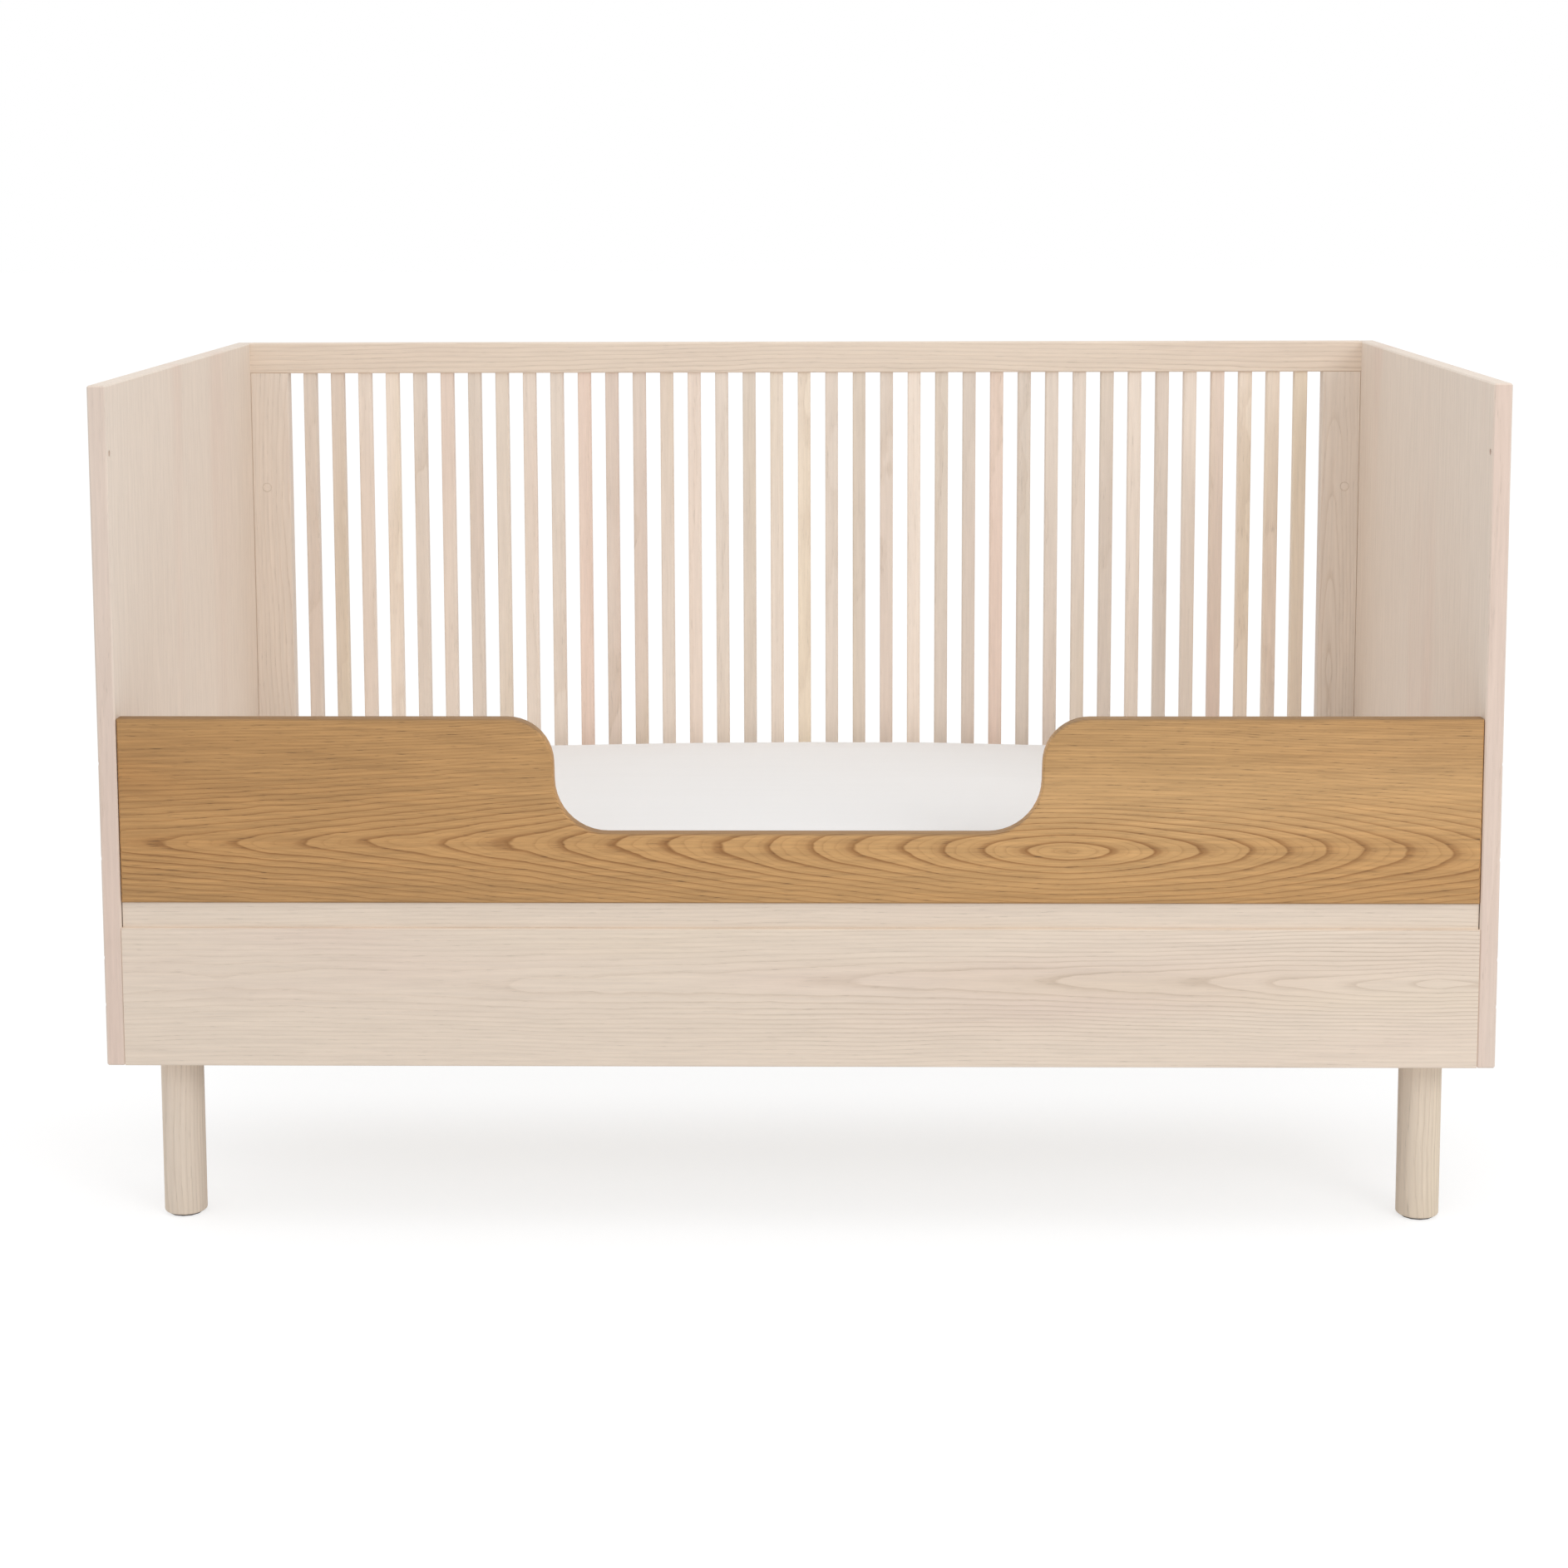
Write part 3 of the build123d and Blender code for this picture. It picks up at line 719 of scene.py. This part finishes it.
class COT_OT_legs(bpy.types.Operator):
    """Turn the four round legs"""

    bl_idname = "cot.legs"
    bl_label = "Legs"
    bl_options = {"REGISTER", "UNDO"}

    def execute(self, context):
        rounding = context.scene.cot_shapes.foot_rounding
        for seed, corner in enumerate(CORNERS):
            node = "leg_" + corner
            low, high = (Vector(point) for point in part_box(node))
            piece = cylinder(96, (high.x - low.x) / 2, high.z - low.z, location=(low + high) / 2)
            round_rim(piece, Vector((0.0, 0.0, -1.0)), rounding, 5)
            smooth(piece)
            material = board(node, LEG_HEART, ash_tones(), 200.0 + 13.0 * seed)
            settle(piece, "turned_" + node, material, BED, "whitewashed_ash", node)
        return {"FINISHED"}


# ---------------------------------------------------------------- mattress
CLOTH = {
    "quality": 4,
    "mass": 0.3,
    "tension_stiffness": 12.0,
    "compression_stiffness": 12.0,
    "bending_stiffness": 0.6,
    "use_pressure": True,
}
CLOTH_STEPS = 20
GATHER = 0.0016  # how deep the sheet's gathers are, in metres


def padded_block(low, high, shapes):
    """A block with rounded corners and edges, a little smaller than its space."""
    size = high - low
    slack = shapes.sheet_slack
    bpy.ops.object.select_all(action="DESELECT")
    bpy.ops.mesh.primitive_cube_add(size=1.0, location=(low + high) / 2)
    piece = bpy.context.object
    piece.scale = (size.x - 2 * slack, size.y - 2 * slack, size.z - slack)
    bpy.ops.object.transform_apply(location=True, rotation=True, scale=True)
    apply_modifier(
        piece, "Edges", "BEVEL", width=shapes.sheet_edge, segments=5, limit_method="ANGLE",
        angle_limit=math.radians(60),
    )
    piece.data.remesh_voxel_size = shapes.sheet_voxel
    activate(piece)
    bpy.ops.object.voxel_remesh()
    return piece


def swell(piece, pressure, cap):
    """Blow the cover up with the cloth solver, with a cap on how far a point may move."""
    start = [vertex.co.copy() for vertex in piece.data.vertices]
    activate(piece)
    cloth = piece.modifiers.new("Swell", "CLOTH")
    for key, value in CLOTH.items():
        setattr(cloth.settings, key, value)
    cloth.settings.uniform_pressure_force = pressure
    cloth.settings.effector_weights.gravity = 0.0
    scene = bpy.context.scene
    for step in range(1, CLOTH_STEPS + 1):
        scene.frame_set(step)
    solved = piece.evaluated_get(bpy.context.evaluated_depsgraph_get())
    end = [vertex.co.copy() for vertex in solved.data.vertices]
    piece.modifiers.remove(cloth)
    scene.frame_set(1)
    for vertex, before, after in zip(piece.data.vertices, start, end):
        travel = after - before
        vertex.co = before + travel * min(1.0, cap / max(travel.length, cap))


def crease(piece, low, high, shapes):
    """Crown the top, lay soft creases in it, gather the lower edge and keep to the space."""
    centre = (low + high) / 2
    half = (high - low) / 2
    for vertex in piece.data.vertices:
        place = vertex.co
        u = (place.x - centre.x) / half.x
        v = (place.y - centre.y) / half.y
        height = (place.z - low.z) / (high.z - low.z)
        top = min(max((height - 0.55) / 0.4, 0.0), 1.0)
        bulge = 1.6 * math.exp(-(((place.x - centre.x) / shapes.crown_reach) ** 2)) - 0.6
        crown = shapes.sheet_crown * bulge * (1.0 - 0.35 * v**4)
        streak = noise.noise(Vector((place.x * 2.6, place.y * 24.0, 3.0)))
        pull = noise.noise(Vector((place.x * 9.0, place.y * 9.0, 8.0)))
        place.z += top * (crown + shapes.sheet_crease * (streak + 0.7 * pull))
        side = (1.0 - top) * max(abs(u) ** 40, abs(v) ** 24)
        run = place.x * 95.0 if abs(v) > abs(u) else place.y * 95.0
        gather = 0.5 + 0.5 * math.sin(run + 2.0 * noise.noise(Vector((run * 0.2, 0.0, 1.0))))
        inward = side * gather * GATHER
        place.x -= math.copysign(inward, u) if abs(u) >= abs(v) else 0.0
        place.y -= math.copysign(inward, v) if abs(v) > abs(u) else 0.0
        place.x = min(max(place.x, low.x), high.x)
        place.y = min(max(place.y, low.y), high.y)
        place.z = min(max(place.z, low.z), high.z + shapes.sheet_crown)


class COT_OT_mattress(bpy.types.Operator):
    """Make the mattress in its fitted sheet"""

    bl_idname = "cot.mattress"
    bl_label = "Mattress"
    bl_options = {"REGISTER", "UNDO"}

    def execute(self, context):
        shapes = context.scene.cot_shapes
        low, high = (Vector(point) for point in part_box("mattress"))
        piece = padded_block(low, high, shapes)
        swell(piece, 4.0, shapes.sheet_slack)
        apply_modifier(piece, "Finer", "SUBSURF", levels=1, render_levels=1)
        crease(piece, low, high, shapes)
        activate(piece)
        bpy.ops.object.shade_smooth()
        settle(piece, "fitted_mattress", cotton("fitted_sheet"), MATTRESS, "cotton_sheet", "mattress")
        return {"FINISHED"}


# ---------------------------------------------------------------- fittings
def disc(radius, thickness, axis_turn, rounding, outward):
    """A flat round head about the origin, with a rounded rim on its outward side."""
    piece = cylinder(48, radius, thickness, rotation=axis_turn)
    bpy.ops.object.transform_apply(location=True, rotation=True, scale=True)
    round_rim(piece, outward, rounding, 3)
    return piece


def socket_bolt(size, shapes):
    """A flat-headed bolt that looks along +X, with the outside of its head at the origin."""
    turn = (0.0, math.pi / 2, 0.0)
    thickness = shapes.head_thickness
    head = disc(size.y / 2, thickness, turn, shapes.rim_rounding, Vector((1.0, 0.0, 0.0)))
    head.data.transform(Matrix.Translation((-thickness / 2, 0.0, 0.0)))
    cutter = cylinder(6, shapes.socket_width / math.sqrt(3), 2 * shapes.socket_depth, rotation=turn)
    apply_modifier(head, "Socket", "BOOLEAN", operation="DIFFERENCE", object=cutter)
    bpy.data.objects.remove(cutter)
    shank = size.x - thickness
    middle_x = -thickness - shank / 2
    stem = cylinder(24, shapes.shank_radius, shank, rotation=turn, location=(middle_x, 0.0, 0.0))
    bpy.ops.object.transform_apply(location=True, rotation=True, scale=True)
    round_rim(stem, Vector((-1.0, 0.0, 0.0)), shapes.shank_radius * 0.2, 1)
    activate(head)
    stem.select_set(True)
    bpy.ops.object.join()
    smooth(head)
    return head


class COT_OT_fittings(bpy.types.Operator):
    """Make the socket bolts and the plugs on the stiles, and coat the other fittings"""

    bl_idname = "cot.fittings"
    bl_label = "Fittings"
    bl_options = {"REGISTER", "UNDO"}

    def execute(self, context):
        shapes = context.scene.cot_shapes
        look = context.scene.cot_finishes
        steel = zinc("zinc_plate")
        for node in ("barrel_nuts", "hook_bolts", "hook_inserts", "leg_bolts", "leg_inserts"):
            coat(node, steel)
        coat("leg_glides", moulded("felt", look.felt))
        coat("frame_dowels", board("frame_dowels", LEG_HEART, birch_tones(), 410.0))
        self.bolts(shapes, steel)
        self.plugs(shapes, look)
        return {"FINISHED"}

    def bolts(self, shapes, steel):
        """The bolts through the end panels, with a hexagon socket in each head."""
        boxes = solids("connector_bolts")
        low, high = boxes[0]
        template = socket_bolt(high - low, shapes)
        places = []
        for low, high in boxes:
            centre = (low + high) / 2
            outside = high.x if centre.x > 0 else low.x
            turn = Matrix.Rotation(0.0 if centre.x > 0 else math.pi, 4, "Z")
            places.append(Matrix.Translation((outside, centre.y, centre.z)) @ turn)
        piece = copies(template, places, "socket_bolts")
        settle(piece, "socket_bolts", steel, BED, "zinc_steel", "connector_bolts")

    def plugs(self, shapes, look):
        """The plugs over the barrel nuts in the stiles."""
        boxes = solids("nut_caps")
        size = boxes[0][1] - boxes[0][0]
        outward = Vector((0.0, -1.0, 0.0))
        template = disc(size.z / 2, size.y, (math.pi / 2, 0.0, 0.0), shapes.rim_rounding, outward)
        smooth(template)
        places = [Matrix.Translation((low + high) / 2) for low, high in boxes]
        piece = copies(template, places, "stile_plugs")
        material = moulded("plug_plastic", look.ash_pale)
        settle(piece, "stile_plugs", material, BED, "whitewashed_ash", "nut_caps")


# ---------------------------------------------------------------- stage
FULL_WHITE = 1.02  # a strength that shows as pure white
SHADOW_FADE = (-0.14, 0.12)  # where the shadow on the floor starts to fade, and where it has faded


def lamp(name, place, target, width, height, power):
    """A soft rectangular lamp that looks at a target."""
    data = bpy.data.lights.new(name, "AREA")
    data.shape = "RECTANGLE"
    data.size = width
    data.size_y = height
    data.energy = power
    light = bpy.data.objects.new(name, data)
    light.location = place
    light.rotation_euler = (Vector(target) - Vector(place)).to_track_quat("-Z", "Y").to_euler()
    bpy.context.collection.objects.link(light)


def seen_directly(tree):
    """1 for what the camera, a reflection or clear glass shows, and 0 for the light on other things."""
    path = tree.nodes.new("ShaderNodeLightPath")
    total = path.outputs["Is Camera Ray"]
    for ray in ("Is Glossy Ray", "Is Transmission Ray"):
        greater = tree.nodes.new("ShaderNodeMath")
        greater.operation = "MAXIMUM"
        tree.links.new(total, greater.inputs[0])
        tree.links.new(path.outputs[ray], greater.inputs[1])
        total = greater.outputs[0]
    return total


def white_sky(strength):
    """An even sky that lights the bed and looks white."""
    world = bpy.data.worlds.new("studio")
    bpy.context.scene.world = world
    world.use_nodes = True
    tree = world.node_tree
    light = tree.nodes["Background"]
    light.inputs["Color"].default_value = (1.0, 1.0, 1.0, 1.0)
    light.inputs["Strength"].default_value = strength
    white = tree.nodes.new("ShaderNodeBackground")
    white.inputs["Strength"].default_value = 1.0
    white.inputs["Color"].default_value = (1.0, 1.0, 1.0, 1.0)
    mix = tree.nodes.new("ShaderNodeMixShader")
    tree.links.new(seen_directly(tree), mix.inputs[0])
    tree.links.new(light.outputs[0], mix.inputs[1])
    tree.links.new(white.outputs[0], mix.inputs[2])
    tree.links.new(mix.outputs[0], tree.nodes["World Output"].inputs["Surface"])


def pale_floor(size, glow, white, behind):
    """A white floor on which the bed's shadow shows faintly, and more faintly behind its middle."""
    bpy.ops.object.select_all(action="DESELECT")
    bpy.ops.mesh.primitive_plane_add(size=size, location=(0.0, 0.0, -0.0002))
    floor = bpy.context.object
    floor.name = "studio_floor"
    finish = Finish("studio_floor")
    finish.set(Base_Color=(0.85, 0.86, 0.875, 1.0), Roughness=0.9, Specular_IOR_Level=0.0)
    tree = finish.tree
    bright = tree.nodes.new("ShaderNodeEmission")
    bright.inputs["Color"].default_value = (1.0, 1.0, 1.0, 1.0)
    kept = 1.0 - finish.place()[1].step(*SHADOW_FADE) * behind
    own = 1.0 - kept * (1.0 - glow)
    strength = (kept * (glow * white - FULL_WHITE) + FULL_WHITE) / own
    finish.plug(bright.inputs["Strength"], strength)
    share = own * Value(finish, seen_directly(tree).node)
    mix = tree.nodes.new("ShaderNodeMixShader")
    tree.links.new(share.socket, mix.inputs[0])
    tree.links.new(finish.surface.outputs[0], mix.inputs[1])
    tree.links.new(bright.outputs[0], mix.inputs[2])
    tree.links.new(mix.outputs[0], tree.nodes["Material Output"].inputs["Surface"])
    floor.data.materials.append(finish.material)


def camera(stage, front):
    """A camera in front of the bed, which looks down a little and has its lens lowered."""
    data = bpy.data.cameras.new("camera")
    data.sensor_width = 36.0
    data.lens = stage.camera_lens
    data.shift_y = -stage.camera_shift
    item = bpy.data.objects.new("camera", data)
    place = (stage.camera_aside, front - stage.camera_distance, stage.camera_height)
    turn = Matrix.Rotation(-stage.camera_turn, 4, "Z")
    tilt = Matrix.Rotation(math.pi / 2 - stage.camera_dip, 4, "X")
    roll = Matrix.Rotation(stage.camera_roll, 4, "Z")
    item.matrix_world = Matrix.Translation(place) @ turn @ tilt @ roll
    bpy.context.collection.objects.link(item)
    bpy.context.scene.camera = item


class COT_OT_stage(bpy.types.Operator):
    """Set up the floor, the sky, the lamps and the camera"""

    bl_idname = "cot.stage"
    bl_label = "Stage"
    bl_options = {"REGISTER", "UNDO"}

    def execute(self, context):
        stage = context.scene.cot_stage
        context.scene.view_settings.view_transform = "Standard"
        white_sky(stage.sky)
        pale_floor(stage.floor_size, stage.floor_glow, stage.floor_white, stage.floor_behind)
        lamp("key_lamp", (2.4, -3.2, 2.3), (0.0, 0.0, 0.4), 1.8, 1.3, stage.key_power)
        lamp("top_lamp", (0.0, -0.6, 2.7), (0.0, 0.0, 0.3), 2.2, 1.6, stage.top_power)
        camera(stage, cad_box[0][1])
        return {"FINISHED"}


# ---------------------------------------------------------------- sidebar and registration
OPERATORS = (
    COT_OT_boards,
    COT_OT_slats,
    COT_OT_guard,
    COT_OT_legs,
    COT_OT_mattress,
    COT_OT_fittings,
    COT_OT_stage,
)
GROUPS = {"cot_finishes": CotFinishes, "cot_shapes": CotShapes, "cot_stage": CotStage}


class COT_PT_sidebar(bpy.types.Panel):
    """Steps and settings of the cot bed"""

    bl_label = "Cot bed"
    bl_idname = "COT_PT_sidebar"
    bl_space_type = "VIEW_3D"
    bl_region_type = "UI"
    bl_category = "Cot bed"

    def draw(self, context):
        for operator in OPERATORS:
            self.layout.operator(operator.bl_idname)
        for name, group in GROUPS.items():
            box = self.layout.box()
            for key in group.__annotations__:
                box.prop(getattr(context.scene, name), key)


def register():
    """Register the classes and hang the settings on the scene."""
    for item in (*GROUPS.values(), *OPERATORS, COT_PT_sidebar):
        bpy.utils.register_class(item)
    for name, group in GROUPS.items():
        setattr(bpy.types.Scene, name, bpy.props.PointerProperty(type=group))


def unregister():
    """Take the settings and the classes away again."""
    for name in GROUPS:
        delattr(bpy.types.Scene, name)
    for item in (COT_PT_sidebar, *reversed(OPERATORS), *GROUPS.values()):
        bpy.utils.unregister_class(item)


def main():
    """Run every step in order."""
    register()
    bpy.ops.cot.boards()
    bpy.ops.cot.slats()
    bpy.ops.cot.guard()
    bpy.ops.cot.legs()
    bpy.ops.cot.mattress()
    bpy.ops.cot.fittings()
    bpy.ops.cot.stage()


if __name__ == "__main__":
    main()
